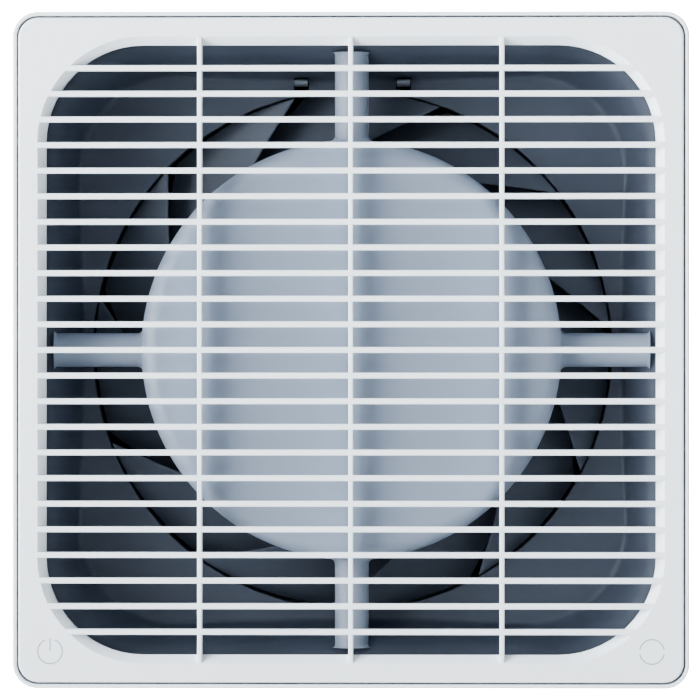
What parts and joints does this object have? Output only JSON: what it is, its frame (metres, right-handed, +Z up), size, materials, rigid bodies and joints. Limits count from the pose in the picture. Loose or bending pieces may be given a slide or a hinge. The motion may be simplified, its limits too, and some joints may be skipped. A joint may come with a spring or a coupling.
{
  "type": "bathroom extractor fan",
  "caption": "Square wall extractor fan with a slatted clip-on front, axial impeller, round duct spigot and backdraught shutter flaps.",
  "frame": {"origin": "where the fan's axis meets the wall, on the back face of the casing", "axes": "front faces -Y, +Z up, +X to the right seen from the front; the duct runs along +Y"},
  "size_m": [0.198, 0.114, 0.198],
  "materials": {
    "front_white": "satin moulded ABS",
    "casing_white": "satin moulded ABS",
    "well_charcoal": "fine matte grain, dark blue-grey",
    "duct_charcoal": "fine matte grain, dark blue-grey",
    "impeller_charcoal": "satin, glass-filled nylon",
    "flap_grey": "satin thin moulding",
    "housing_pale": "satin, pale blue-grey",
    "zinc_steel": "bright zinc plating",
    "bearing_steel": "ground steel",
    "motor_steel": "stamped electrical steel",
    "copper_wire": "enamelled copper winding",
    "ferrite": "sintered, dull",
    "black_rubber": "matte",
    "lead_jacket": "matte PVC jacket",
    "cast_alloy": "as cast",
    "circuit_board": "green solder mask",
    "capacitor_sleeve": "shrink sleeve",
    "part_plastic": "moulded nylon"
  },
  "bodies": {
    "casing": {"outer_casing": "casing_white", "inner_shroud": "well_charcoal", "shroud_catch_left": "housing_pale", "shroud_catch_right": "housing_pale", "fan_duct": "duct_charcoal", "duct_screw_1": "zinc_steel", "duct_screw_2": "zinc_steel", "duct_screw_3": "zinc_steel", "duct_screw_4": "zinc_steel", "shutter_pin": "zinc_steel", "motor_housing": "housing_pale", "motor_flange": "cast_alloy", "motor_damper_1": "black_rubber", "motor_damper_2": "black_rubber", "motor_damper_3": "black_rubber", "motor_damper_4": "black_rubber", "motor_screw_1": "zinc_steel", "motor_screw_2": "zinc_steel", "motor_screw_3": "zinc_steel", "motor_screw_4": "zinc_steel", "arm_screw_right": "zinc_steel", "arm_screw_top": "zinc_steel", "arm_screw_left": "zinc_steel", "arm_screw_bottom": "zinc_steel", "motor_board": "circuit_board", "motor_lead": "lead_jacket", "front_bearing": "bearing_steel", "rear_bearing": "bearing_steel", "preload_washer": "zinc_steel", "stator_core": "motor_steel", "stator_coil_1": "copper_wire", "stator_coil_2": "copper_wire", "stator_coil_3": "copper_wire", "stator_coil_4": "copper_wire", "stator_coil_5": "copper_wire", "stator_coil_6": "copper_wire", "power_touch_board": "circuit_board", "mode_touch_board": "circuit_board", "control_board": "circuit_board", "board_transformer": "part_plastic", "board_capacitor": "capacitor_sleeve", "terminal_block": "part_plastic", "terminal_screw_1": "zinc_steel", "terminal_screw_2": "zinc_steel", "terminal_screw_3": "zinc_steel", "cable_grommet": "black_rubber", "cable_clamp": "part_plastic", "clamp_screw_1": "zinc_steel", "clamp_screw_2": "zinc_steel"},
    "impeller": {"impeller": "impeller_charcoal", "rotor_can": "motor_steel", "magnet_ring": "ferrite", "rotor_shaft": "zinc_steel", "shaft_circlip": "zinc_steel", "impeller_nut": "zinc_steel"},
    "flap_left": {"shutter_flap_left": "flap_grey", "shutter_spring_left": "zinc_steel"},
    "flap_right": {"shutter_flap_right": "flap_grey", "shutter_spring_right": "zinc_steel"},
    "grille": {"front_grille": "front_white"}
  },
  "joints": [
    {"name": "impeller_spin", "type": "hinge", "parent": "casing", "child": "impeller", "pos_m": [0, -0.0165, 0], "axis": [0, 1, 0], "continuous": true},
    {"name": "flap_left_swing", "type": "hinge", "parent": "casing", "child": "flap_left", "pos_m": [0, 0.0524, 0], "axis": [0, 0, -1], "range_deg": [0, 70], "stiffness_Nm_per_rad": 0.0008, "springref_deg": -20.05},
    {"name": "flap_right_swing", "type": "hinge", "parent": "casing", "child": "flap_right", "pos_m": [0, 0.0524, 0], "axis": [0, 0, 1], "range_deg": [0, 70], "stiffness_Nm_per_rad": 0.0008, "springref_deg": -20.05},
    {"name": "grille_pull", "type": "slide", "parent": "casing", "child": "grille", "axis": [0, -1, 0], "range_m": [0, 0.018]}
  ]
}
